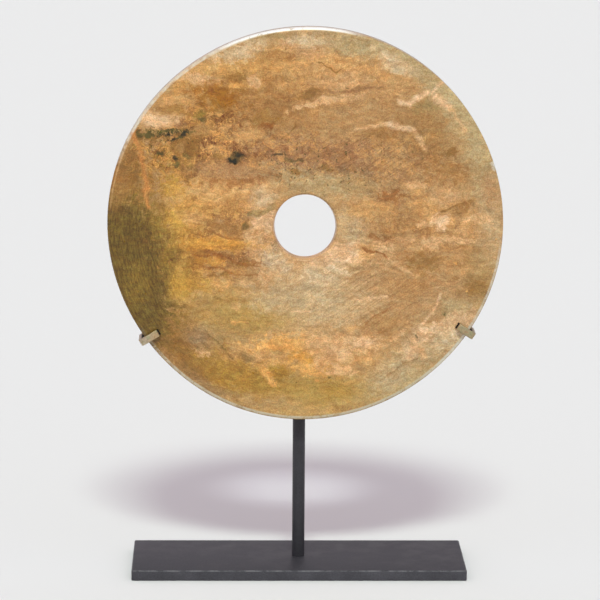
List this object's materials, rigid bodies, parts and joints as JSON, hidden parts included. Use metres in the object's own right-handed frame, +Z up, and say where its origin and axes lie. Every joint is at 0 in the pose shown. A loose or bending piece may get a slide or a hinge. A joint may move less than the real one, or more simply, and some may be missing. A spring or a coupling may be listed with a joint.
{
  "type": "jade bi disc on a display stand",
  "caption": "Flat polished stone ring with a round central hole, held upright by lined brass clips on a slim round post and a flat black steel base plate.",
  "frame": {"origin": "centre of the base plate's underside", "axes": "+Z up, the disc's front face towards -Y, +X to the right seen from the front"},
  "size_m": [0.2962, 0.089, 0.4172],
  "materials": {
    "jade": "polished nephrite, banded tan, orange-brown, olive and grey-green, with pale veins and dark specks",
    "black_steel": "satin charcoal finish with lightly worn edges",
    "brass": "dull patinated brass",
    "lining": "matt dark lining"
  },
  "bodies": {
    "root": {"jade_disc": "jade", "base_plate": "black_steel", "post": "black_steel", "clip_bar": "brass", "clip_liner_left": "lining", "clip_liner_right": "lining"}
  },
  "joints": []
}
